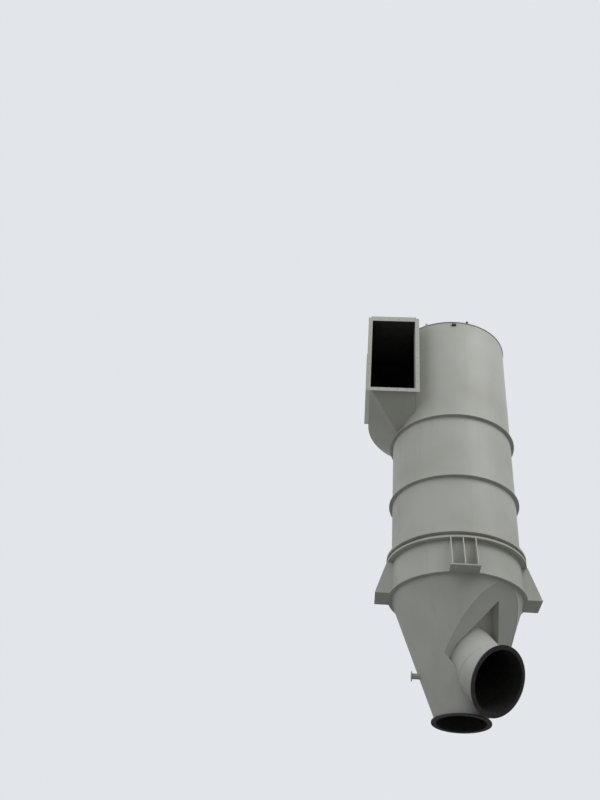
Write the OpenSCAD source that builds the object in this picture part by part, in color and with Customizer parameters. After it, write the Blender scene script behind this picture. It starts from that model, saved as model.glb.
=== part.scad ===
// Cyclone separator with a tangential scroll inlet on top, a four-footed support belt,
// a conical hopper, and a gas outlet duct that leaves sideways through the cone.
// Origin: on the vessel axis, in the plane on which the support ring and the feet rest.
// Z points up, and gas enters the inlet along +Y.

/* [Vessel] */
// Outer diameter of the barrel
barrel_d = 2200; // [2000:10:2400]
// Thickness of the shell plates
plate_t = 8; // [6:1:12]
// Height of the roof's top face above the seat
roof_z = 5410; // [5250:10:5750]
// Thickness of the roof plate
roof_t = 10; // [8:1:16]
// How far the roof plate stands out past the shell
roof_lip = 12; // [6:1:20]
// Clearance of a weld seam between curved faces
seam = 0.3; // [0.2:0.1:0.5]

/* [Rings] */
// Underside of the upper stiffening ring
ring_upper_z = 3098; // [3050:1:3130]
// Underside of the middle stiffening ring
ring_middle_z = 1810; // [1650:10:1950]
// Width of a stiffening ring, across the flat
ring_w = 60; // [50:5:90]
// Thickness of a stiffening ring
ring_t = 14; // [10:1:20]
// Top of the support belt, where the barrel stands on it
belt_h = 716; // [700:1:800]
// Width of the joint's two flanges and of the ring below them
joint_flange_w = 90; // [70:5:120]
// Thickness of each flange in that joint
joint_flange_t = 20; // [16:1:30]

/* [Support] */
// Underside of the ring around the belt, above the ribs
belt_ring_z = 596; // [560:1:620]
// Thickness of the ring around the belt
belt_ring_t = 34; // [25:1:40]
// Width of the lower support ring
seat_ring_w = 60; // [50:5:90]
// Thickness of the lower support ring and of the foot plates
seat_t = 20; // [16:1:30]
// Width of a foot plate, along the ring
foot_w = 475; // [450:5:560]
// Distance of a foot plate's outer edge from the axis
foot_reach = 1380; // [1350:10:1450]
// Thickness of the ribs above a foot plate
rib_t = 16; // [12:1:24]
// Spacing of the ribs above a foot plate
rib_pitch = 200; // [180:5:210]
// Radius of an anchor bolt hole
anchor_hole_r = 13; // [10:0.5:16]
// Distance between the two anchor holes of a foot
anchor_pitch = 300; // [280:5:320]

/* [Cone] */
// Depth of the cone and its outlet flange below the seat
cone_depth = 2000; // [1900:10:2150]
// Inner radius of the dust outlet
dust_r = 390; // [370:5:400]
// Outer radius of the dust outlet flange
dust_flange_r = 465; // [460:5:480]
// Thickness of both round outlet flanges
outlet_flange_t = 20; // [16:1:30]
// Radius of a flange bolt hole
bolt_hole_r = 9; // [7:0.5:11]
// Number of bolt holes in each round outlet flange
outlet_bolts = 12; // [8:4:16]

/* [Inlet scroll] */
// Distance of the scroll's outer wall from the axis at the inlet
scroll_reach = 1586; // [1560:1:1610]
// Clear width of the inlet
inlet_w = 826; // [800:1:850]
// Height of the inlet's lower edge above the seat
inlet_z = 3614; // [3590:1:3650]
// Clear height of the inlet
inlet_h = 1675; // [1600:5:1700]
// Distance of the inlet flange's face from the axis
inlet_y = 1215; // [1200:5:1260]
// Width of the inlet flange bars
inlet_bar_w = 78; // [70:1:90]
// Thickness of the inlet flange bars
inlet_bar_t = 12; // [10:1:16]
// Depth of the sloped bottom, where it meets the barrel behind the inlet
scroll_drop = 424; // [400:1:460]
// Fall of the inlet floor for each unit of its length
floor_fall = 0.632; // [0.58:0.01:0.66]

/* [Gas outlet] */
// Outer radius of the gas outlet duct
duct_r = 490; // [470:5:500]
// Outer radius of the duct's end flange
duct_flange_r = 550; // [545:5:560]
// Compass angle of the duct, from the front towards +X
duct_turn = 42; // [40:1:44]
// Angle at which the duct's last length points down
duct_dip = 30; // [26:1:34]
// Angle at which the duct's middle length points down
middle_dip = 50; // [46:1:54]
// Length of the duct from its mouth to the knee
last_len = 330; // [310:5:350]
// How far the duct's mouth stands out past the cone at its own level
mouth_out = 212; // [200:1:230]
// Height of the mouth's centre above the cone's lower end
mouth_rise = 466; // [450:1:490]
// Height of the vortex tube's upper mouth above the seat
tube_top_z = 1200; // [1000:10:1450]

/* [Flat and recess above the duct] */
// Compass angle that the flat on the cone faces, from the front towards +X
flat_turn = 41; // [40:1:43]
// Angle at which the flat faces down
flat_dip = 36; // [35:1:37]
// How much of the cone is left above the flat
flat_margin = 8; // [6:1:16]
// Depth below the seat of the ledge that ends the flat
ledge_depth = 1300; // [1280:1:1320]
// Steepness of the ledge, as an angle down
ledge_dip = 58; // [54:1:61]
// Rise of the ledge to either side for each unit of its length
ledge_rise = 0.3; // [0.27:0.01:0.34]
// Height of the recess's ridge above the duct's axis
ridge_h = 1170; // [1150:5:1190]
// How far the ridge lies left of the duct's middle plane
ridge_shift = 50; // [30:5:60]
// Height of the recess's upright sides above the duct's axis
recess_side_h = 260; // [250:5:280]
// Distance of the recess's back plate from the duct's mouth
recess_len = 720; // [700:5:740]
// Clearance between the duct and the recess's upright sides
recess_gap = 3; // [2:0.5:5]

/* [Roof fittings] */
// Distance of the lifting lugs from the rim of the shell
lug_inset = 125; // [115:5:200]
// Height of a lifting lug
lug_h = 165; // [120:5:180]
// Thickness of a lifting lug
lug_t = 25; // [20:1:30]
// Radius of the hole in a lifting lug
lug_hole_r = 30; // [24:1:34]
// Height of the roof stiffening bars
roof_bar_h = 90; // [70:5:110]
// Thickness of the roof stiffening bars
roof_bar_t = 12; // [8:1:16]
// Distance between the two roof stiffening bars, as a share of the barrel's diameter
roof_bar_share = 0.3; // [0.25:0.01:0.35]
// Distance of a bar's ends from the rim of the shell
roof_bar_inset = 150; // [100:10:200]

/* [Hidden] */
$fn = 240;
barrel_r = barrel_d / 2;
front = -90;
wall_top_z = roof_z - roof_t;

// The scroll: a straight outer wall, then a half turn that closes on the barrel at +X
scroll_arc_r = (scroll_reach + barrel_r) / 2;
scroll_cx = -(scroll_reach - barrel_r) / 2;
side_fall = scroll_drop / (scroll_reach - barrel_r);
plate_drop_side = plate_t * sqrt(1 + side_fall * side_fall);
plate_drop_floor = plate_t * sqrt(1 + floor_fall * floor_fall);
scroll_low_z = inlet_z - scroll_drop;
inner_wall_x = -scroll_reach + plate_t + inlet_w;
inlet_back_y = -inlet_y + inlet_bar_t;
ceiling_z = inlet_z + inlet_h;
// How far the barrel's cut edge stays below the sloping plate that is welded to it
weld_step = 2;

// The cone, whose upper edge meets the belt just above the seat
cone_low_z = -cone_depth + outlet_flange_t;
cone_low_r = dust_r + plate_t;
cone_slope = (barrel_r - cone_low_r) / -cone_low_z;
cone_across = plate_t * sqrt(1 + cone_slope * cone_slope);
dust_pcd_r = (cone_low_r + dust_flange_r) / 2 + 4;

// The gas outlet duct, drawn in its own vertical plane and then turned
duct_inner_r = duct_r - plate_t;
mouth_z = cone_low_z + mouth_rise;
mouth_reach = barrel_r + mouth_z * cone_slope + mouth_out;
knee_half = (middle_dip - duct_dip) / 2;
bend_half = (90 - middle_dip) / 2;
knee_x = mouth_reach - last_len * cos(duct_dip);
knee_z = mouth_z + last_len * sin(duct_dip);
bend_z = knee_z + knee_x * tan(middle_dip);
duct_pcd_r = (duct_r + duct_flange_r) / 2 + 2;
far = 4 * barrel_d;

// The flat on the cone, and the ledge and the pointed recess below and inside it
flat_reach = barrel_r * cos(flat_dip) + flat_margin * (sin(flat_dip) - cone_slope * cos(flat_dip));
ledge_x = (flat_reach - ledge_depth * sin(flat_dip)) / cos(flat_dip);
recess_half_w = duct_r + seam + recess_gap;
ridge_left = atan((recess_half_w - ridge_shift) / (ridge_h - recess_side_h));
ridge_right = atan((recess_half_w + ridge_shift) / (ridge_h - recess_side_h));
lug_r = barrel_r - lug_inset;

foot_angles = [for (i = [0:3]) i * 90];
lug_angles = [for (i = [0:3]) 60 + i * 90];

paint = [0.85, 0.85, 0.79];
bare = [0.25, 0.25, 0.26];
inside_paint = [0.35, 0.35, 0.34];

FOOT_NODES = [for (i = [0:3]) str("foot_plate_", i + 1)];
RIB_NODES = [for (i = [0:3]) str("foot_ribs_", i + 1)];
LUG_NODES = [for (i = [0:3]) str("lifting_lug_", i + 1)];

// An upright round shell between two heights
module shell_ring(outer, thick, low, high) {
    translate([0, 0, low])
        difference() {
            cylinder(r = outer, h = high - low);
            translate([0, 0, -1]) cylinder(r = outer - thick, h = high - low + 2);
        }
}

// A flat ring around the shell
module flat_ring(width, thick, low) {
    translate([0, 0, low])
        difference() {
            cylinder(r = barrel_r + width, h = thick);
            translate([0, 0, -1]) cylinder(r = barrel_r + seam, h = thick + 2);
        }
}

// Everything behind the vertical plane y = 0
module back_half(low, high) {
    translate([-far, 0, low]) cube([2 * far, far, high - low]);
}

// The space above the sloping side bottom; lower shifts the plane down
module above_side_slope(lower) {
    left = -scroll_reach + plate_t;
    reach = 2 * barrel_r;
    translate([0, far, 0])
        rotate([90, 0, 0])
            linear_extrude(2 * far)
                polygon([
                    [left - reach, inlet_z + reach * side_fall - lower],
                    [left + reach, inlet_z - reach * side_fall - lower],
                    [left + reach, far],
                    [left - reach, far]
                ]);
}

// The space above the sloping inlet floor
module above_floor_slope(lower) {
    reach = 2 * barrel_r;
    rotate([90, 0, 90])
        translate([0, 0, -far])
            linear_extrude(2 * far)
                polygon([
                    [inlet_back_y - reach, inlet_z + reach * floor_fall - lower],
                    [inlet_back_y + reach, inlet_z - reach * floor_fall - lower],
                    [inlet_back_y + reach, far],
                    [inlet_back_y - reach, far]
                ]);
}

// Slanting body from the barrel up to the scroll's half turn
module scroll_slope(shrink, low, high) {
    disc = 0.01;
    span = high - low;
    rise = span / scroll_drop;
    base = (low - scroll_low_z) / scroll_drop;
    hull() {
        translate([scroll_cx * base, 0, low])
            cylinder(r = barrel_r + (scroll_arc_r - barrel_r) * base - shrink, h = disc, $fn = 180);
        translate([scroll_cx * (base + rise), 0, high - disc])
            cylinder(r = barrel_r + (scroll_arc_r - barrel_r) * (base + rise) - shrink, h = disc, $fn = 180);
    }
}

module barrel_head() {
    color(paint)
    difference() {
        shell_ring(barrel_r, plate_t, ring_upper_z, wall_top_z);
        back_half(scroll_low_z, far);
        intersection() {
            translate([-far, -far, 0]) cube([far + inner_wall_x + plate_t, far, far]);
            above_side_slope(weld_step);
            above_floor_slope(0);
        }
    }
}

module scroll_wall() {
    color(paint)
    intersection() {
        translate([scroll_cx, 0, 0]) shell_ring(scroll_arc_r, plate_t, inlet_z, wall_top_z);
        back_half(0, far);
    }
}

module scroll_side_wall() {
    color(paint)
    translate([-scroll_reach, inlet_back_y, inlet_z])
        cube([plate_t, -inlet_back_y, wall_top_z - inlet_z]);
}

module scroll_bottom() {
    color(paint)
    intersection() {
        difference() {
            scroll_slope(0, scroll_low_z, inlet_z);
            scroll_slope(plate_t * 1.2, scroll_low_z - 30, inlet_z + 30);
        }
        back_half(0, far);
    }
}

module scroll_side_bottom() {
    color(paint)
    difference() {
        intersection() {
            translate([-scroll_reach, inlet_back_y, 0])
                cube([scroll_reach + inner_wall_x, -inlet_back_y, inlet_z]);
            above_side_slope(plate_drop_side);
            above_floor_slope(plate_drop_floor);
        }
        above_side_slope(0);
        cylinder(r = barrel_r + seam, h = far);
    }
}

module inlet_floor() {
    color(paint)
    difference() {
        intersection() {
            translate([-scroll_reach, inlet_back_y, 0])
                cube([scroll_reach + inner_wall_x + plate_t, -inlet_back_y, inlet_z]);
            above_floor_slope(plate_drop_floor);
            above_side_slope(0);
        }
        above_floor_slope(0);
        cylinder(r = barrel_r + seam, h = far);
    }
}

module inlet_inner_wall() {
    color(paint)
    difference() {
        intersection() {
            translate([inner_wall_x, inlet_back_y, 0])
                cube([plate_t, barrel_r, wall_top_z]);
            above_floor_slope(0);
        }
        cylinder(r = barrel_r + seam, h = far);
        back_half(0, far);
    }
}

// The duct's top plate, lower than the roof, with a strip that closes the space between them
module inlet_ceiling() {
    color(paint)
    translate([-scroll_reach + plate_t, inlet_back_y, ceiling_z]) {
        cube([inlet_w, -inlet_back_y, plate_t]);
        cube([inlet_w, plate_t, wall_top_z - ceiling_z]);
    }
}

module inlet_flange() {
    holes_up = 9;
    holes_across = 5;
    low = [-scroll_reach + plate_t, inlet_z];
    mid = inlet_bar_w / 2;
    step_x = (inlet_w + inlet_bar_w) / holes_across;
    step_z = (inlet_h + inlet_bar_w) / holes_up;
    color(paint)
    translate([0, inlet_back_y, 0])
        rotate([90, 0, 0])
            linear_extrude(inlet_bar_t)
                difference() {
                    translate(low - [inlet_bar_w, inlet_bar_w])
                        square([inlet_w + 2 * inlet_bar_w, inlet_h + 2 * inlet_bar_w]);
                    translate(low) square([inlet_w, inlet_h]);
                    for (i = [0:holes_across], j = [0, holes_up])
                        translate(low + [i * step_x - mid, j * step_z - mid]) circle(bolt_hole_r, $fn = 24);
                    for (i = [0, holes_across], j = [1:holes_up - 1])
                        translate(low + [i * step_x - mid, j * step_z - mid]) circle(bolt_hole_r, $fn = 24);
                }
}

module scroll_stiffener() {
    bar_w = 86;
    color(paint)
    translate([-scroll_reach - bar_w, -bar_w, inlet_z - 12])
        cube([bar_w, ring_t, wall_top_z - inlet_z + 12]);
}

module roof() {
    color(paint)
    translate([0, 0, wall_top_z])
        linear_extrude(roof_t)
            roof_outline(roof_lip);
}

module roof_outline(lip) {
    circle(barrel_r + lip);
    intersection() {
        translate([scroll_cx, 0]) circle(scroll_arc_r + lip);
        translate([-far, 0]) square([2 * far, far]);
    }
    translate([-scroll_reach - lip, inlet_back_y])
        square([scroll_reach + lip + inner_wall_x + plate_t + lip, -inlet_back_y]);
}

module roof_bars() {
    bar = 2 * (barrel_r - roof_bar_inset);
    color(paint)
    translate([0, 0, roof_z])
        for (side = [-1, 1])
            translate([(side * roof_bar_share * barrel_d - roof_bar_t) / 2, -bar / 2, 0])
                cube([roof_bar_t, bar, roof_bar_h]);
}

module barrel_upper_course() {
    color(paint) shell_ring(barrel_r, plate_t, ring_middle_z, ring_upper_z);
}

module barrel_lower_course() {
    color(paint) shell_ring(barrel_r, plate_t, belt_h, ring_middle_z);
}

module ring_upper() {
    color(paint) flat_ring(ring_w, ring_t, ring_upper_z);
}

module ring_middle() {
    color(paint) flat_ring(ring_w, ring_t, ring_middle_z);
}

module barrel_flange() {
    color(paint) flat_ring(joint_flange_w, joint_flange_t, belt_h);
}

module belt_flange() {
    color(paint) flat_ring(joint_flange_w, joint_flange_t, belt_h - joint_flange_t);
}

module belt_ring() {
    color(paint) flat_ring(joint_flange_w, belt_ring_t, belt_ring_z);
}

module support_belt() {
    color(paint) shell_ring(barrel_r, plate_t, weld_step, belt_h);
}

module support_ring() {
    color(paint) flat_ring(seat_ring_w, seat_t, 0);
}

// Foot plate outside the support ring, with two anchor holes
module foot_plate(turn) {
    inner = barrel_r + seat_ring_w + seam;
    color(paint)
    rotate([0, 0, turn])
        difference() {
            translate([0, -foot_w / 2, 0]) cube([foot_reach, foot_w, seat_t]);
            translate([0, 0, -1]) cylinder(r = inner, h = seat_t + 2);
            for (side = [-1, 1])
                translate([(inner + foot_reach) / 2, side * anchor_pitch / 2, -1])
                    cylinder(r = anchor_hole_r, h = seat_t + 2, $fn = 24);
        }
}

// Three sloping ribs between the foot plate and the ring around the belt
module foot_ribs(turn) {
    top = belt_ring_z;
    edge = barrel_r + joint_flange_w - 4;
    color(paint)
    rotate([0, 0, turn])
        difference() {
            for (side = [-1:1])
                translate([0, side * rib_pitch + rib_t / 2, 0])
                    rotate([90, 0, 0])
                        linear_extrude(rib_t)
                            polygon([
                                [barrel_r - 80, seat_t],
                                [foot_reach - 10, seat_t],
                                [foot_reach - 10, seat_t + 40],
                                [edge, top],
                                [barrel_r - 80, top]
                            ]);
            cylinder(r = barrel_r + seam, h = far);
        }
}

// Lifting lug: an upright plate with a round head and an eye
module lifting_lug(turn) {
    foot = 160;
    head = lug_hole_r * 2;
    color(paint)
    rotate([0, 0, turn])
        translate([lug_r, lug_t / 2, roof_z])
            rotate([90, 0, 0])
                linear_extrude(lug_t)
                    difference() {
                        union() {
                            translate([0, lug_h - head]) circle(head);
                            translate([-head, 0]) square([2 * head, lug_h - head]);
                            polygon([[-foot / 2, 0], [foot / 2, 0], [head - 1, lug_h / 2], [-head + 1, lug_h / 2]]);
                        }
                        translate([0, lug_h - head]) circle(lug_hole_r);
                    }
}

module roof_stub() {
    color(bare)
    rotate([0, 0, front + 15])
        translate([barrel_r - 30, 0, roof_z])
            difference() {
                cylinder(r = 24, h = 70, $fn = 32);
                translate([0, 0, 12]) cylinder(r = 18, h = 70, $fn = 32);
            }
}

module rim_cleat() {
    cleat_w = 80;
    cleat_h = 45;
    color(bare)
    rotate([0, 0, front + 0.5])
        translate([barrel_r + seam, -cleat_w / 2, wall_top_z - 2 * cleat_h])
            cube([25, cleat_w, cleat_h]);
}

// Moves its children from the duct's mouth frame (Z out along the duct) to the vessel
module at_mouth() {
    rotate([0, 0, front + duct_turn])
        translate([mouth_reach, 0, mouth_z])
            rotate([0, 90 + duct_dip, 0])
                children();
}

// Moves its children to the knee or the bend, with Z tilted down by an angle
module at_knee(dip) {
    rotate([0, 0, front + duct_turn])
        translate([knee_x, 0, knee_z])
            rotate([0, 90 + dip, 0])
                children();
}

module at_bend(dip) {
    rotate([0, 0, front + duct_turn])
        translate([0, 0, bend_z])
            rotate([0, 90 + dip, 0])
                children();
}

// A long round rod on Z, both ways
module rod(radius, half_len) {
    translate([0, 0, -half_len]) cylinder(r = radius, h = 2 * half_len);
}

// Everything on the positive Z side
module beyond() {
    cylinder(r = far / 4, h = far / 4);
}

module vortex_tube() {
    color(inside_paint)
    difference() {
        translate([0, 0, bend_z - 2 * duct_r]) cylinder(r = duct_r, h = tube_top_z - bend_z + 2 * duct_r);
        rod(duct_inner_r, far / 2);
        at_bend(middle_dip + bend_half) beyond();
    }
}

// The middle length of the duct, between its two mitres
module duct_knee() {
    color(paint)
    difference() {
        intersection() {
            at_knee(middle_dip) rod(duct_r, far / 4);
            at_bend(middle_dip + bend_half) beyond();
        }
        at_knee(duct_dip + knee_half) beyond();
        at_knee(middle_dip) rod(duct_inner_r, far / 4);
    }
}

// The last length of the duct, from the knee to the mouth
module outlet_duct() {
    color(paint)
    difference() {
        intersection() {
            at_mouth() translate([0, 0, -far / 8]) cylinder(r = duct_r, h = far / 8);
            at_knee(duct_dip + knee_half) beyond();
        }
        at_mouth() rod(duct_inner_r, far / 4);
    }
}

module outlet_duct_flange() {
    color(bare)
    at_mouth()
        translate([0, 0, -outlet_flange_t])
            difference() {
                cylinder(r = duct_flange_r, h = outlet_flange_t);
                translate([0, 0, -1]) cylinder(r = duct_r + seam, h = outlet_flange_t + 2);
                bolt_holes(duct_pcd_r, outlet_flange_t);
            }
}

// What is cut off the cone above the duct; deeper moves its faces into the vessel
module cut_for_flat(deeper) {
    shift = deeper * sqrt(1 + ledge_rise * ledge_rise);
    reach = 2 * barrel_r;
    rotate([0, 0, front + flat_turn])
        intersection() {
            rotate([0, 90 + flat_dip, 0])
                translate([0, 0, flat_reach - deeper]) beyond();
            translate([ledge_x, 0, -ledge_depth])
                rotate([0, 90 + ledge_dip, 0])
                    translate([0, 0, -reach])
                        linear_extrude(2 * reach)
                            polygon([
                                [shift, 0],
                                [shift - reach * ledge_rise, reach],
                                [-far / 4, reach],
                                [-far / 4, -reach],
                                [shift - reach * ledge_rise, -reach]
                            ]);
        }
}

// The upper outline of the recess, on the mouth frame's XY plane, grown by a thickness
module recess_outline(grow) {
    half_w = recess_half_w + grow;
    left_h = recess_side_h + grow * tan(ridge_left / 2);
    right_h = recess_side_h + grow * tan(ridge_right / 2);
    top_h = (2 * half_w + left_h * tan(ridge_left) + right_h * tan(ridge_right))
        / (tan(ridge_left) + tan(ridge_right));
    polygon([
        [0, -half_w],
        [-left_h, -half_w],
        [-top_h, (top_h - left_h) * tan(ridge_left) - half_w],
        [-right_h, half_w],
        [0, half_w]
    ]);
}

// The round of the duct below and the recess above, as one cutter
module duct_slot() {
    at_mouth() {
        rod(duct_r + seam, far / 8);
        translate([0, 0, -far / 8]) linear_extrude(far / 4) recess_outline(0);
    }
}

// The cone's solid body, shrunk by a distance measured across
module cone_body(shrink) {
    translate([0, 0, cone_low_z])
        cylinder(r1 = cone_low_r - shrink, r2 = barrel_r - shrink, h = weld_step - cone_low_z);
}

// Flat plate on the cone above the duct, with the ledge that ends it
module cone_flat() {
    color(paint)
    difference() {
        intersection() {
            cut_for_flat(plate_t);
            cone_body(cone_across + seam);
        }
        cut_for_flat(0);
        duct_slot();
    }
}

// Pointed cover over the duct where it passes through the flat
module duct_recess() {
    color(paint)
    difference() {
        intersection() {
            at_mouth()
                translate([0, 0, -recess_len]) linear_extrude(recess_len) recess_outline(plate_t);
            cone_body(cone_across + seam);
        }
        at_mouth()
            translate([0, 0, plate_t - recess_len]) linear_extrude(recess_len) recess_outline(0);
        cut_for_flat(plate_t);
        at_knee(middle_dip) rod(duct_r + seam, far / 4);
        at_mouth() rod(duct_r + seam, far / 8);
        rod(duct_r + seam, far / 2);
    }
}

module bolt_holes(circle_r, thick) {
    for (i = [0:outlet_bolts - 1])
        rotate([0, 0, (i + 0.5) * 360 / outlet_bolts])
            translate([circle_r, 0, -1]) cylinder(r = bolt_hole_r, h = thick + 2, $fn = 24);
}

module cone_shell() {
    color(paint)
    difference() {
        rotate_extrude()
            polygon([
                [cone_low_r, cone_low_z],
                [barrel_r, weld_step],
                [barrel_r - cone_across, weld_step],
                [cone_low_r - cone_across, cone_low_z]
            ]);
        cut_for_flat(0);
        duct_slot();
    }
}

module dust_outlet_flange() {
    color(bare)
    translate([0, 0, -cone_depth])
        difference() {
            cylinder(r = dust_flange_r, h = outlet_flange_t);
            translate([0, 0, -1]) cylinder(r = dust_r, h = outlet_flange_t + 2);
            bolt_holes(dust_pcd_r, outlet_flange_t);
        }
}

// Small capped pipe on the cone's left side
module cone_nozzle() {
    pipe_r = 45;
    depth = 1300;
    at_r = barrel_r - depth * (barrel_r - cone_low_r) / -cone_low_z;
    color(paint)
    difference() {
        union() {
            translate([-at_r - 130, 0, -depth]) rotate([0, 90, 0]) cylinder(r = pipe_r, h = 200, $fn = 48);
            translate([-at_r - 130, 0, -depth]) rotate([0, 90, 0]) cylinder(r = pipe_r + 35, h = 14, $fn = 48);
        }
        translate([-at_r - 118, 0, -depth]) rotate([0, 90, 0]) cylinder(r = pipe_r - 6, h = 300, $fn = 48);
        translate([0, 0, -cone_depth])
            cylinder(r1 = cone_low_r + seam - outlet_flange_t * (barrel_r - cone_low_r) / -cone_low_z,
                r2 = barrel_r + seam, h = cone_depth, $fn = 180);
    }
}

roof();
roof_bars();
barrel_head();
scroll_wall();
scroll_side_wall();
scroll_bottom();
scroll_side_bottom();
scroll_stiffener();
inlet_inner_wall();
inlet_floor();
inlet_ceiling();
inlet_flange();
barrel_upper_course();
barrel_lower_course();
ring_upper();
ring_middle();
barrel_flange();
belt_flange();
belt_ring();
support_belt();
support_ring();
for (i = [0:3]) foot_plate(foot_angles[i]);
for (i = [0:3]) foot_ribs(foot_angles[i]);
for (i = [0:3]) lifting_lug(lug_angles[i]);
cone_shell();
cone_flat();
duct_recess();
dust_outlet_flange();
vortex_tube();
duct_knee();
outlet_duct();
outlet_duct_flange();
cone_nozzle();
roof_stub();
rim_cleat();
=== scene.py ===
"""Looks of the cyclone separator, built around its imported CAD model. All lengths are in metres."""
import math
import random

import bpy
import bmesh
from mathutils import Matrix, Vector


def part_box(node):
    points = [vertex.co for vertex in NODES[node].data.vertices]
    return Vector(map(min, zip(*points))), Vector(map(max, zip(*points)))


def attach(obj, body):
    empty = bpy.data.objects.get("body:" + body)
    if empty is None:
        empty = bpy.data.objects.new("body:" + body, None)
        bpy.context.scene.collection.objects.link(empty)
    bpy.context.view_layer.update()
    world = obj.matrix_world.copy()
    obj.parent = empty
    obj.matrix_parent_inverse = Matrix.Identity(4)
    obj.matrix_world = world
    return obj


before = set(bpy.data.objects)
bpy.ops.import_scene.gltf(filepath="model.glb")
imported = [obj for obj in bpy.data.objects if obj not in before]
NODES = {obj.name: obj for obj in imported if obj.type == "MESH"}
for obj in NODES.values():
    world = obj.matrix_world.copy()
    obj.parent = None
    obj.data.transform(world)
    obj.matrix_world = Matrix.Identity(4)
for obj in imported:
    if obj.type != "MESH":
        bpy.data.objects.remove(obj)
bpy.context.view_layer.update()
RANDOM = random.Random(7)

# Sizes of the CAD model that no node's box gives
RIB_T = 0.016
CONE_LOW_R = 0.398
INLET_FLOOR_FALL = 0.632  # for each metre inwards

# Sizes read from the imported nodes
BARREL_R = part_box("support_belt")[1].x
ROOF_UNDER_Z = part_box("roof")[0].z
RING_UPPER = (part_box("ring_upper")[0].z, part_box("ring_upper")[1].z)
RING_MIDDLE = (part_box("ring_middle")[0].z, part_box("ring_middle")[1].z)
BELT_RING = (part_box("belt_ring")[0].z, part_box("belt_ring")[1].z)
JOINT_LOW_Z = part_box("belt_flange")[0].z
JOINT_HIGH_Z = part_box("barrel_flange")[1].z
JOINT_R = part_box("belt_flange")[1].x
SEAT_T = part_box("support_ring")[1].z
CONE_LOW_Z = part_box("cone_shell")[0].z
CONE_SLOPE = (BARREL_R - CONE_LOW_R) / -CONE_LOW_Z
DUST_HIGH_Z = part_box("dust_outlet_flange")[1].z
OUTLET_FLANGE_T = DUST_HIGH_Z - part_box("dust_outlet_flange")[0].z
RIB_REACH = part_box("foot_ribs_1")[1].x
RIB_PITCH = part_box("foot_ribs_1")[1].y - RIB_T / 2
SCROLL_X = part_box("scroll_side_wall")[0].x
PLATE_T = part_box("scroll_side_wall")[1].x - SCROLL_X
INLET_BACK_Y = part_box("scroll_side_wall")[0].y
INLET_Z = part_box("scroll_side_wall")[0].z
INNER_WALL_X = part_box("inlet_inner_wall")[0].x
SCROLL_LOW_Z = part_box("scroll_bottom")[0].z
SCROLL_ARC_R = (BARREL_R - SCROLL_X) / 2
SCROLL_CX = (BARREL_R + SCROLL_X) / 2


def tilted(turn, dip):
    """Direction at a compass angle from the front towards +X, and so far down, in degrees."""
    turn, dip = math.radians(turn - 90), math.radians(dip)
    return Vector((math.cos(turn) * math.cos(dip), math.sin(turn) * math.cos(dip), -math.sin(dip)))


# The gas duct, as in the CAD model: its lengths' directions, its mouth and its knee
DUCT_R = 0.49
DUCT_TURN = 42
DUCT_AXIS = tilted(DUCT_TURN, 30)
KNEE_AXIS = tilted(DUCT_TURN, 50)
MITRE_AXIS = tilted(DUCT_TURN, 40)
DUCT_SIDE = Vector((math.cos(math.radians(DUCT_TURN)), math.sin(math.radians(DUCT_TURN)), 0))
DUCT_TOP = DUCT_AXIS.cross(DUCT_SIDE)
MOUTH_OUT = 0.775218
MOUTH_Z = -1.514
LAST_LENGTH = 0.33
DUCT_MOUTH = MOUTH_OUT * tilted(DUCT_TURN, 0) + Vector((0, 0, MOUTH_Z))
KNEE_AT = DUCT_MOUTH - LAST_LENGTH * DUCT_AXIS

# The flat on the cone and the ledge that ends it, as in the CAD model
FLAT_TURN = 41
FLAT_AXIS = tilted(FLAT_TURN, 36)
FLAT_REACH = 0.892326
LEDGE_AXIS = tilted(FLAT_TURN, 58)
LEDGE_SIDE = Vector((math.cos(math.radians(FLAT_TURN)), math.sin(math.radians(FLAT_TURN)), 0))
LEDGE_TOP = LEDGE_AXIS.cross(LEDGE_SIDE)
LEDGE_OUT = 0.158471
LEDGE_Z = -1.3
LEDGE_AT = LEDGE_OUT * tilted(FLAT_TURN, 0) + Vector((0, 0, LEDGE_Z))
LEDGE_RISE = 0.3

# The pointed recess over the duct, as in the CAD model
RIDGE_H = 1.17
RIDGE_SHIFT = 0.05
RIDGE_AT = DUCT_MOUTH + RIDGE_H * DUCT_TOP - RIDGE_SHIFT * DUCT_SIDE
RECESS_HALF_W = 0.4933
RECESS_SIDE_H = 0.26
RECESS_LEN = 0.72

# Camera of the photograph, in the part's frame
CAMERA_AT = Vector((-1.593, -13.462, -6.249))
CAMERA_YAW = -0.1025
CAMERA_PITCH = 0.657
CAMERA_ROLL = 0.099
FOCAL_PX = 850
IMAGE_H_PX = 800
SENSOR_MM = 36
CLIP_NEAR = 0.1
CLIP_FAR = 500


def make_camera():
    forward = Vector((
        math.sin(CAMERA_YAW) * math.cos(CAMERA_PITCH),
        math.cos(CAMERA_YAW) * math.cos(CAMERA_PITCH),
        math.sin(CAMERA_PITCH),
    ))
    level = forward.cross(Vector((0, 0, 1))).normalized()
    upright = level.cross(forward)
    right = math.cos(CAMERA_ROLL) * level + math.sin(CAMERA_ROLL) * upright
    up = math.cos(CAMERA_ROLL) * upright - math.sin(CAMERA_ROLL) * level
    data = bpy.data.cameras.new("camera")
    data.sensor_width = SENSOR_MM
    data.lens = FOCAL_PX / IMAGE_H_PX * SENSOR_MM
    data.clip_start = CLIP_NEAR
    data.clip_end = CLIP_FAR
    camera = bpy.data.objects.new("camera", data)
    bpy.context.scene.collection.objects.link(camera)
    turn = Matrix((right, up, -forward)).transposed().to_4x4()
    camera.matrix_world = Matrix.Translation(CAMERA_AT) @ turn
    bpy.context.scene.camera = camera


def node_tree(material_name):
    material = bpy.data.materials.new(material_name)
    material.use_nodes = True
    tree = material.node_tree
    return material, tree, tree.nodes["Principled BSDF"]


def add(tree, kind, **values):
    made = tree.nodes.new(kind)
    for key, value in values.items():
        setattr(made, key, value)
    return made


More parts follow.
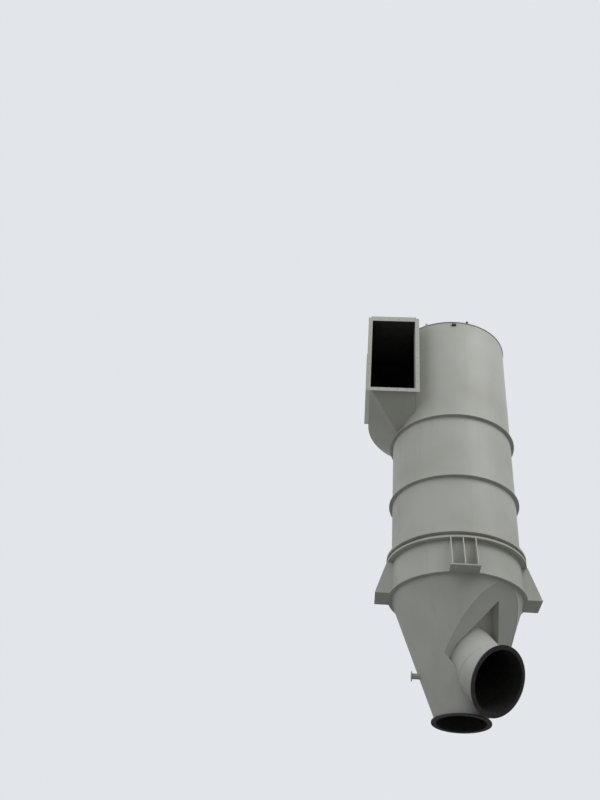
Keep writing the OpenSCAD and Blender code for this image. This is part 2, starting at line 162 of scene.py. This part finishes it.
def math_node(tree, operation, a, b, clamp=False):
    """Either value is a number or a socket."""
    made = add(tree, "ShaderNodeMath", operation=operation, use_clamp=clamp)
    for i, value in enumerate((a, b)):
        if isinstance(value, (int, float)):
            made.inputs[i].default_value = value
        else:
            tree.links.new(value, made.inputs[i])
    return made.outputs[0]


def vector_node(tree, operation, *values):
    made = add(tree, "ShaderNodeVectorMath", operation=operation)
    for i, value in enumerate(values):
        if isinstance(value, bpy.types.NodeSocket):
            tree.links.new(value, made.inputs[i])
        else:
            made.inputs[i].default_value = value
    return made.outputs["Value" if operation in ("DOT_PRODUCT", "LENGTH") else "Vector"]


def noise(tree, place, scale, detail, stretch=(1, 1, 1)):
    """Noise at so many waves a metre, stretched along an axis by a small factor there."""
    mapping = add(tree, "ShaderNodeMapping")
    mapping.inputs["Scale"].default_value = stretch
    tree.links.new(place, mapping.inputs["Vector"])
    made = add(tree, "ShaderNodeTexNoise")
    made.inputs["Scale"].default_value = scale
    made.inputs["Detail"].default_value = detail
    tree.links.new(mapping.outputs[0], made.inputs["Vector"])
    return made.outputs["Fac"]


def ramp(tree, value, low, high):
    """0 below low, 1 above high."""
    made = add(tree, "ShaderNodeMapRange", clamp=True)
    made.inputs["From Min"].default_value = low
    made.inputs["From Max"].default_value = high
    tree.links.new(value, made.inputs["Value"])
    return made.outputs[0]


STEP_WIDTH = 0.0002


def step_node(tree, value, limit):
    """1 where a value lies above the limit."""
    return ramp(tree, value, limit, limit + STEP_WIDTH)


def mix(tree, amount, a, b):
    """Colour mix; a and b are colours or sockets."""
    made = add(tree, "ShaderNodeMix", data_type="RGBA")
    for value, socket in ((amount, made.inputs[0]), (a, made.inputs[6]), (b, made.inputs[7])):
        if isinstance(value, bpy.types.NodeSocket):
            tree.links.new(value, socket)
        else:
            socket.default_value = value
    return made.outputs[2]


def bump(tree, shader, height, distance):
    made = add(tree, "ShaderNodeBump")
    made.inputs["Distance"].default_value = distance
    tree.links.new(height, made.inputs["Height"])
    tree.links.new(made.outputs[0], shader.inputs["Normal"])


def linear(r, g, b):
    """Shader colour of an sRGB colour given from 0 to 255."""
    shares = (c / 255 for c in (r, g, b))
    return tuple(s / 12.92 if s <= 0.04045 else ((s + 0.055) / 1.055) ** 2.4 for s in shares) + (1,)


PAINT = linear(192, 193, 183)
PAINT_DUSTY = linear(174, 173, 159)
PAINT_GRIME = linear(140, 134, 118)
RUST = linear(112, 66, 40)
# Colours of the inner side: dark plate with scale, made darker still as painted shade inside the vessel
SHADED_INNER_STEEL = linear(38, 37, 36)
SHADED_INNER_SCALE = linear(58, 53, 48)
SHADED_INNER_GREY = linear(70, 71, 68)
# Flange faces, stub and cleat: bare steel, made darker still as painted shade
SHADED_BARE = linear(50, 49, 50)

# How much of each mark shows, and how rough the paint is
DUST_SHARE = 0.55
RUNS_SHARE = 0.2
MARKS_SHARE = 0.6
PAINT_ROUGH = 0.38
PAINT_ROUGH_SPREAD = 0.25
PLATE_EXTRA_ROUGH = 0.25
PAINT_SPECULAR = 0.4
PEEL_SHARE = 0.05
PAINT_WAVE_H = 0.003

STEEL_LIGHT_GAIN = 1.5
STEEL_ROUGH = 0.35
STEEL_ROUGH_SPREAD = 0.35
STEEL_METALLIC = 0.35
GRAIN_SHARE = 0.2
STEEL_PIT_H = 0.0006

# Lines that the inner sides of the shell and of the duct's lengths look at: a point and a direction
VESSEL_LINE = ((0, 0, 0), (0, 0, 1))
MOUTH_LINE = (tuple(DUCT_MOUTH), tuple(DUCT_AXIS))
KNEE_LINE = (tuple(KNEE_AT), tuple(KNEE_AXIS))

# A duct's outer side inside the cone gets the dark inner colour, partly as painted shade.
DARK_DEPTH = 0.09  # how far inside the cone's surface a duct turns dark
INWARD_LIMIT = 0.35
END_LIMIT = 0.9
FACING_WIDTH = 0.05


def recess_shoulder(side):
    """Where a side wall of the recess meets its slanting roof, in the plane of the duct's mouth."""
    return DUCT_MOUTH + side * RECESS_HALF_W * DUCT_SIDE + RECESS_SIDE_H * DUCT_TOP


def behind_plane(tree, place, point, out):
    """1 on the inner side of a plane, and for half a plate's thickness past it."""
    away = vector_node(tree, "DOT_PRODUCT", vector_node(tree, "SUBTRACT", place, tuple(point)), tuple(out))
    return math_node(tree, "SUBTRACT", 1.0, step_node(tree, away, PLATE_T / 2))


def within_cone(tree, place):
    """1 well inside the cone, but not in the open recess over the duct: where a duct takes the dark inner
    colour, partly painted shade.
    """
    radius = vector_node(tree, "LENGTH", vector_node(tree, "MULTIPLY", place, (1, 1, 0)))
    fall = vector_node(tree, "DOT_PRODUCT", place, (0, 0, CONE_SLOPE))
    wall = math_node(tree, "ADD", fall, BARREL_R - DARK_DEPTH)
    inside = step_node(tree, math_node(tree, "SUBTRACT", wall, radius), 0)
    planes = [(DUCT_MOUTH, -DUCT_TOP), (DUCT_MOUTH - RECESS_LEN * DUCT_AXIS, -DUCT_AXIS)]
    for side in (-1, 1):
        shoulder = recess_shoulder(side)
        planes.append((shoulder, side * DUCT_SIDE))
        planes.append((shoulder, side * (RIDGE_AT - shoulder).cross(DUCT_AXIS).normalized()))
    open_part = None
    for point, out in planes:
        kept = behind_plane(tree, place, point, out)
        open_part = kept if open_part is None else math_node(tree, "MULTIPLY", open_part, kept)
    return math_node(tree, "MULTIPLY", inside, math_node(tree, "SUBTRACT", 1.0, open_part))


def shaded_inner_side(tree, place, axis_line=None, towards=None, cone=False, end=None):
    """1 on faces that look into the vessel: towards a line inside it, in one direction, or within the cone.

    It is also 1 on a duct's end face, which looks in the direction named end. Where it is 1, the dark plate
    colour goes, partly as painted shade.
    """
    if axis_line is not None:
        point, along = axis_line
        offset = vector_node(tree, "SUBTRACT", place, point)
        nearest = vector_node(tree, "PROJECT", offset, along)
        towards = vector_node(tree, "NORMALIZE", vector_node(tree, "SUBTRACT", nearest, offset))
    mask = within_cone(tree, place) if cone else None
    for direction, limit in ((towards, INWARD_LIMIT), (end, END_LIMIT)):
        if direction is None:
            continue
        normal = add(tree, "ShaderNodeNewGeometry").outputs["True Normal"]
        share = vector_node(tree, "DOT_PRODUCT", normal, direction)
        facing = ramp(tree, share, limit, limit + FACING_WIDTH)
        mask = facing if mask is None else math_node(tree, "MAXIMUM", mask, facing)
    return mask


def paint_material(name, shaded_plate_colour=SHADED_INNER_STEEL, **inner):
    """Off-white machine paint with dust, streaks and small rust marks; inner says which side is bare plate,
    coloured dark partly as painted shade.
    """
    material, tree, shader = node_tree(name)
    place = add(tree, "ShaderNodeTexCoord").outputs["Object"]
    cloud = noise(tree, place, scale=0.9, detail=5)
    streak = noise(tree, place, scale=7, detail=6, stretch=(1, 1, 0.07))
    fine = noise(tree, place, scale=60, detail=3)
    spots = noise(tree, place, scale=26, detail=6)
    dusty = math_node(tree, "MULTIPLY", ramp(tree, cloud, low=0.42, high=0.68), DUST_SHARE)
    colour = mix(tree, dusty, PAINT, PAINT_DUSTY)
    runs = math_node(tree, "MULTIPLY", ramp(tree, streak, low=0.56, high=0.85), RUNS_SHARE)
    colour = mix(tree, runs, colour, PAINT_GRIME)
    worn = ramp(tree, cloud, low=0.5, high=0.62)
    marks = math_node(tree, "MULTIPLY", ramp(tree, spots, low=0.73, high=0.77), worn)
    marks = math_node(tree, "MULTIPLY", marks, MARKS_SHARE)
    colour = mix(tree, marks, colour, RUST)
    rough = math_node(tree, "ADD", math_node(tree, "MULTIPLY", cloud, PAINT_ROUGH_SPREAD), PAINT_ROUGH)
    if inner:
        inside = shaded_inner_side(tree, place, **inner)
        # The inner side's dark plate colour is partly bare plate and partly painted shade inside the vessel.
        plate = mix(tree, ramp(tree, spots, low=0.4, high=0.65), shaded_plate_colour, SHADED_INNER_SCALE)
        colour = mix(tree, inside, colour, plate)
        extra = math_node(tree, "MULTIPLY", inside, PLATE_EXTRA_ROUGH)
        rough = math_node(tree, "ADD", rough, extra, clamp=True)
    tree.links.new(colour, shader.inputs["Base Color"])
    tree.links.new(rough, shader.inputs["Roughness"])
    shader.inputs["Specular IOR Level"].default_value = PAINT_SPECULAR
    wave = noise(tree, place, scale=2.2, detail=2)
    peel = math_node(tree, "MULTIPLY", fine, PEEL_SHARE)
    bump(tree, shader, math_node(tree, "ADD", wave, peel), PAINT_WAVE_H)
    return material


def steel_material(name, base, rust_share):
    """Bare or primed steel with mill scale and patches of rust; its dark base colour is partly painted shade.
    """
    material, tree, shader = node_tree(name)
    place = add(tree, "ShaderNodeTexCoord").outputs["Object"]
    patches = noise(tree, place, scale=9, detail=8)
    grain = noise(tree, place, scale=120, detail=3)
    lighter = tuple(c * STEEL_LIGHT_GAIN for c in base[:3]) + (1,)
    colour = mix(tree, ramp(tree, grain, low=0.35, high=0.7), base, lighter)
    rusty = math_node(tree, "MULTIPLY", ramp(tree, patches, low=0.5, high=0.66), rust_share)
    colour = mix(tree, rusty, colour, RUST)
    tree.links.new(colour, shader.inputs["Base Color"])
    spread = math_node(tree, "MULTIPLY", patches, STEEL_ROUGH_SPREAD)
    rough = math_node(tree, "ADD", spread, STEEL_ROUGH, clamp=True)
    tree.links.new(rough, shader.inputs["Roughness"])
    shader.inputs["Metallic"].default_value = STEEL_METALLIC
    pits = math_node(tree, "ADD", patches, math_node(tree, "MULTIPLY", grain, GRAIN_SHARE))
    bump(tree, shader, pits, STEEL_PIT_H)
    return material


# Finishes with an inner side colour the faces inside the vessel dark, partly as painted shade; the vortex
# tube's steel is dark all over, partly as painted shade too.
MATERIALS = {
    "paint": paint_material("paint"),
    "shell": paint_material("paint_shell", SHADED_INNER_GREY, axis_line=VESSEL_LINE),
    "last_length": paint_material(
        "paint_last_length", axis_line=MOUTH_LINE, cone=True, end=tuple(DUCT_AXIS)),
    "knee": paint_material("paint_knee", axis_line=KNEE_LINE, cone=True),
    "recess": paint_material("paint_recess", cone=True),
    "floor": paint_material("paint_floor", towards=(0, 0, 1)),
    "ceiling": paint_material("paint_ceiling", SHADED_INNER_GREY, towards=(0, 0, -1)),
    "flat": paint_material("paint_flat", towards=tuple(-FLAT_AXIS)),
    "bare": steel_material("bare_steel", SHADED_BARE, rust_share=0.35),
    "inner": steel_material("inner_steel", SHADED_INNER_STEEL, rust_share=0.5),
}

# Nodes with a finish of their own; all others have plain paint
FINISHES = {
    "shell": ["barrel_head", "scroll_wall", "scroll_side_wall", "scroll_bottom", "barrel_upper_course",
              "barrel_lower_course", "support_belt", "cone_shell"],
    "last_length": ["outlet_duct"],
    "knee": ["duct_knee"],
    "recess": ["duct_recess"],
    "floor": ["inlet_floor", "scroll_side_bottom"],
    "ceiling": ["inlet_ceiling", "roof"],
    "flat": ["cone_flat"],
    "bare": ["dust_outlet_flange", "outlet_duct_flange", "roof_stub", "rim_cleat"],
    "inner": ["vortex_tube"],
}


def finish_nodes():
    finish_of = {name: finish for finish, names in FINISHES.items() for name in names}
    for name, node in NODES.items():
        node.data.materials.clear()
        node.data.materials.append(MATERIALS[finish_of.get(name, "paint")])


def piece_from(build, name, material):
    """Makes a mesh from a bmesh builder, at the origin of the row frame, and fixes it to the part."""
    shape = bmesh.new()
    build(shape)
    mesh = bpy.data.meshes.new(name)
    shape.to_mesh(mesh)
    shape.free()
    piece = bpy.data.objects.new(name, mesh)
    bpy.context.scene.collection.objects.link(piece)
    mesh.materials.append(MATERIALS[material])
    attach(piece, "root")


# Weld beads, by radius
BEAD_R = 0.005
SEAM_R = BEAD_R * 0.7
FOOT_BEAD_R = BEAD_R * 0.8
SLOT_BEAD_R = BEAD_R * 1.3
BEAD_SIDES = 6
BEAD_STEP = 0.03
BEAD_THINNEST = 0.88
BEAD_THICKEST = 1.12
STEEP = 0.9  # a bead that runs steeper than this is built across +X instead of +Z

# Where beads stop short of an edge, or stand off a corner
ROOF_GAP = 0.002
RIB_FOOT_GAP = 0.005
RIB_HEAD_GAP = 0.008
CONE_TOP_GAP = 0.03
FLAT_TOP_GAP = 0.005
RECESS_LOW_GAP = 0.02
DUST_BEAD_OUT = 0.001

# Compass angles of the upright seams, in degrees from +X
BELT_SEAM = 118
LOWER_COURSE_SEAM = 205
UPPER_COURSE_SEAM = 62
SCROLL_SEAM = 102
CONE_SEAM = 150

# How finely a bead follows a curve that is worked out point by point
RIM_STEPS = 120
SLOT_TURNS = range(180, 361, 2)
FLAT_FIRST = -40
FLAT_LAST = 120
FLAT_STEPS_A_DEGREE = 2
HALVINGS = 40
INWARD_REACH = 1.2


def sweep(shape, points, radius, closed=False):
    """A round bead along points, with its ends closed, and slightly uneven as a hand weld is."""
    count = len(points)
    rings = []
    for i, point in enumerate(points):
        before = points[i - 1] if i or closed else point
        after = points[(i + 1) % count] if i + 1 < count or closed else point
        along = (after - before).normalized()
        helper = Vector((0, 0, 1)) if abs(along.z) < STEEP else Vector((1, 0, 0))
        side = along.cross(helper).normalized()
        top = side.cross(along)
        size = radius * RANDOM.uniform(BEAD_THINNEST, BEAD_THICKEST)
        rings.append([
            shape.verts.new(point + size * (math.cos(a) * side + math.sin(a) * top))
            for a in (2 * math.pi * k / BEAD_SIDES for k in range(BEAD_SIDES))
        ])
    spans = count if closed else count - 1
    for i in range(spans):
        ring, following = rings[i], rings[(i + 1) % count]
        for k in range(BEAD_SIDES):
            beside = (k + 1) % BEAD_SIDES
            face = shape.faces.new((ring[k], ring[beside], following[beside], following[k]))
            face.smooth = True
    if not closed:
        shape.faces.new(list(reversed(rings[0])))
        shape.faces.new(rings[-1])


def arc(radius, z, start=0.0, end=360.0, centre_x=0.0):
    """Points on a level arc, in degrees, about a bead's step apart; a full turn leaves out its last point."""
    turn = end - start
    count = max(3, int(math.radians(abs(turn)) * radius / BEAD_STEP))
    last = count if abs(turn) >= 360 else count - 1
    return [
        Vector((centre_x + radius * math.cos(a), radius * math.sin(a), z))
        for a in (math.radians(start + turn * i / last) for i in range(count))
    ]


def line(start, end):
    """Points on a straight line, about a bead's step apart."""
    start, end = Vector(start), Vector(end)
    count = max(2, int((end - start).length / BEAD_STEP))
    return [start.lerp(end, i / (count - 1)) for i in range(count)]


def on_circle(radius, angle, z, centre_x=0.0):
    """A point at a height and at an angle in radians round an upright axis."""
    return Vector((centre_x + radius * math.cos(angle), radius * math.sin(angle), z))


def on_duct(angle):
    """Offset from the duct's axis to its surface, at an angle in radians round it."""
    return DUCT_R * (math.cos(angle) * DUCT_SIDE + math.sin(angle) * DUCT_TOP)


def ring_beads(shape):
    """Fillet welds above and below each ring on the shell."""
    for low, high in (RING_UPPER, RING_MIDDLE, BELT_RING):
        sweep(shape, arc(BARREL_R, low), BEAD_R, closed=True)
        sweep(shape, arc(BARREL_R, high), BEAD_R, closed=True)
    for z in (JOINT_HIGH_Z, JOINT_LOW_Z, SEAT_T):
        sweep(shape, arc(BARREL_R, z), BEAD_R, closed=True)


def shell_seams(shape):
    """Upright butt welds, staggered from course to course."""
    courses = (
        (SEAT_T, BELT_RING[0], BELT_SEAM),
        (BELT_RING[1], JOINT_LOW_Z, BELT_SEAM),
        (JOINT_HIGH_Z, RING_MIDDLE[0], LOWER_COURSE_SEAM),
        (RING_MIDDLE[1], RING_UPPER[0], UPPER_COURSE_SEAM),
    )
    for low, high, seam in courses:
        angle = math.radians(seam)
        sweep(shape, line(on_circle(BARREL_R, angle, low), on_circle(BARREL_R, angle, high)), SEAM_R)


def head_beads(shape):
    """Welds of the head: under the roof's lip, round the scroll and along the inlet duct."""
    under = ROOF_UNDER_Z - ROOF_GAP
    join_angle = math.degrees(math.atan2(-math.sqrt(BARREL_R ** 2 - INNER_WALL_X ** 2), INNER_WALL_X))
    sweep(shape, arc(BARREL_R, under, join_angle, 0), BEAD_R)
    for z in (under, INLET_Z):
        sweep(shape, arc(SCROLL_ARC_R, z, 0, 180, SCROLL_CX), BEAD_R)
        sweep(shape, line((SCROLL_X, INLET_BACK_Y, z), (SCROLL_X, 0, z)), BEAD_R)
    sweep(shape, arc(BARREL_R, SCROLL_LOW_Z, 0, 180), BEAD_R)
    join_x = INNER_WALL_X + PLATE_T
    join_y = -math.sqrt(BARREL_R ** 2 - join_x ** 2)
    low_z = INLET_Z + (INLET_BACK_Y - join_y) * INLET_FLOOR_FALL
    sweep(shape, line((join_x, join_y, low_z), (join_x, join_y, under)), BEAD_R)
    seam_ends = [on_circle(SCROLL_ARC_R, math.radians(SCROLL_SEAM), z, SCROLL_CX) for z in (INLET_Z, under)]
    sweep(shape, line(*seam_ends), SEAM_R)


def foot_beads(shape):
    """Fillet welds on both sides of every foot rib."""
    for foot in range(4):
        turn = Matrix.Rotation(math.radians(90 * foot), 4, "Z")
        for rib in (-1, 0, 1):
            for side in (-1, 1):
                y = rib * RIB_PITCH + side * RIB_T / 2
                wall_x = math.sqrt(BARREL_R ** 2 - y * y)
                low = (wall_x, y, SEAT_T)
                high = (wall_x, y, BELT_RING[0])
                upright = line(low, high)
                foot_line = line(low, (RIB_REACH - RIB_FOOT_GAP, y, SEAT_T))
                head_line = line(high, (JOINT_R - RIB_HEAD_GAP, y, BELT_RING[0]))
                for points in (upright, foot_line, head_line):
                    sweep(shape, [turn @ p for p in points], FOOT_BEAD_R)


def cone_radius(z):
    return BARREL_R + CONE_SLOPE * z


def above_ledge(p):
    away = p - LEDGE_AT
    return away.dot(LEDGE_TOP) > LEDGE_RISE * abs(away.dot(LEDGE_SIDE))


def cut_off_cone(p):
    """Whether a point of the cone lies in front of the flat and above its ledge."""
    return p.dot(FLAT_AXIS) > FLAT_REACH and above_ledge(p)


def onto_wall(start):
    """Where a line that runs inwards along the duct meets what is left of the cone, or its flat."""
    near, deep = 0.0, INWARD_REACH
    for _ in range(HALVINGS):
        middle = (near + deep) / 2
        p = start - DUCT_AXIS * middle
        if math.hypot(p.x, p.y) > cone_radius(p.z) or cut_off_cone(p):
            near = middle
        else:
            deep = middle
    return start - DUCT_AXIS * near


def slot_beads(shape):
    """Welds where the duct passes through the cone, and along the edges of the recess above it."""
    low = [DUCT_MOUTH + on_duct(math.radians(a)) for a in SLOT_TURNS]
    sweep(shape, [onto_wall(p) for p in low], SLOT_BEAD_R)
    for side in (-1, 1):
        corner = DUCT_MOUTH + side * RECESS_HALF_W * DUCT_SIDE
        shoulder = recess_shoulder(side)
        outline = line(corner + RECESS_LOW_GAP * DUCT_TOP, shoulder) + line(shoulder, RIDGE_AT)[1:]
        sweep(shape, [onto_wall(p) for p in outline], BEAD_R)


def flat_beads(shape):
    """Welds round the edge of the flat, from ledge to ledge."""
    for first, last in ((FLAT_FIRST, FLAT_TURN), (FLAT_TURN, FLAT_LAST)):
        points = []
        for step in range(first * FLAT_STEPS_A_DEGREE, last * FLAT_STEPS_A_DEGREE + 1):
            angle = math.radians(step / FLAT_STEPS_A_DEGREE - 90)
            across = FLAT_AXIS.x * math.cos(angle) + FLAT_AXIS.y * math.sin(angle)
            z = (FLAT_REACH - BARREL_R * across) / (CONE_SLOPE * across + FLAT_AXIS.z)
            p = on_circle(cone_radius(z), angle, z)
            if z < -FLAT_TOP_GAP and above_ledge(p):
                points.append(p)
        if len(points) > 1:
            sweep(shape, points, BEAD_R)


def outlet_beads(shape):
    """Welds round both outlets and the knee, and the cone's upright seam."""
    back = DUCT_MOUTH - DUCT_AXIS * OUTLET_FLANGE_T
    rim = [on_duct(2 * math.pi * i / RIM_STEPS) for i in range(RIM_STEPS)]
    sweep(shape, [back + r for r in rim], BEAD_R, closed=True)
    knee = [KNEE_AT + r - DUCT_AXIS * (r.dot(MITRE_AXIS) / DUCT_AXIS.dot(MITRE_AXIS)) for r in rim]
    sweep(shape, knee, BEAD_R, closed=True)
    sweep(shape, arc(CONE_LOW_R + DUST_BEAD_OUT, DUST_HIGH_Z), BEAD_R, closed=True)
    seam_ends = [on_circle(cone_radius(z), math.radians(CONE_SEAM), z) for z in (CONE_LOW_Z, -CONE_TOP_GAP)]
    sweep(shape, line(*seam_ends), SEAM_R)


# The stage: what lights the part, and what the camera sees behind it
FLOOR_BELOW_CAMERA = 1.6
FLOOR_HALF = 80
FLOOR_LIT = (0.25, 0.25, 0.24, 1)
FLOOR_SEEN = (0.8, 0.8, 0.8, 1)
FLOOR_ROUGH = 0.9
SKY_SEEN = linear(226, 230, 234)
DOME_LOW = (0.13, 0.126, 0.12, 1)
DOME_HIGH = (0.6, 0.635, 0.67, 1)
LAMPS_AIM = Vector((0, 0, 2))
LAMPS = (
    # name, place, size in metres, power in watts
    ("key", (9, -8, 12), 9, 900),
    ("fill", (-10, -7, 6), 10, 280),
    ("back", (2, 12, 9), 10, 500),
)


def make_floor():
    """A pale floor far below the hanging vessel."""
    z = CAMERA_AT.z - FLOOR_BELOW_CAMERA
    corners = [(FLOOR_HALF * x, FLOOR_HALF * y, z) for x, y in ((-1, -1), (1, -1), (1, 1), (-1, 1))]
    mesh = bpy.data.meshes.new("floor")
    mesh.from_pydata(corners, [], [(0, 1, 2, 3)])
    floor = bpy.data.objects.new("floor", mesh)
    bpy.context.scene.collection.objects.link(floor)
    material, tree, shader = node_tree("floor")
    ray = add(tree, "ShaderNodeLightPath")
    colour = mix(tree, ray.outputs["Is Camera Ray"], FLOOR_LIT, FLOOR_SEEN)
    tree.links.new(colour, shader.inputs["Base Color"])
    shader.inputs["Roughness"].default_value = FLOOR_ROUGH
    mesh.materials.append(material)


def make_light():
    """A soft dome, lighter above, that the camera sees as one pale tone, and three wide lamps."""
    scene = bpy.context.scene
    scene.view_settings.view_transform = "Standard"
    world = bpy.data.worlds.new("surround")
    scene.world = world
    world.use_nodes = True
    tree = world.node_tree
    place = add(tree, "ShaderNodeTexCoord").outputs["Generated"]
    split = add(tree, "ShaderNodeSeparateXYZ")
    tree.links.new(place, split.inputs[0])
    upward = ramp(tree, split.outputs["Z"], low=-0.35, high=0.45)
    dome = mix(tree, upward, DOME_LOW, DOME_HIGH)
    ray = add(tree, "ShaderNodeLightPath")
    seen = math_node(tree, "MAXIMUM", ray.outputs["Is Camera Ray"], ray.outputs["Is Transmission Ray"])
    tree.links.new(mix(tree, seen, dome, SKY_SEEN), tree.nodes["Background"].inputs["Color"])
    for name, at, size, power in LAMPS:
        data = bpy.data.lights.new(name, "AREA")
        data.size = size
        data.energy = power
        lamp = bpy.data.objects.new(name, data)
        lamp.location = at
        lamp.rotation_mode = "QUATERNION"
        lamp.rotation_quaternion = (LAMPS_AIM - Vector(at)).to_track_quat("-Z", "Y")
        scene.collection.objects.link(lamp)


make_camera()
finish_nodes()
piece_from(ring_beads, "ring_welds", "paint")
piece_from(shell_seams, "shell_welds", "paint")
piece_from(head_beads, "head_welds", "paint")
piece_from(foot_beads, "foot_welds", "paint")
piece_from(outlet_beads, "outlet_welds", "paint")
piece_from(slot_beads, "slot_welds", "paint")
piece_from(flat_beads, "flat_welds", "paint")
make_floor()
make_light()
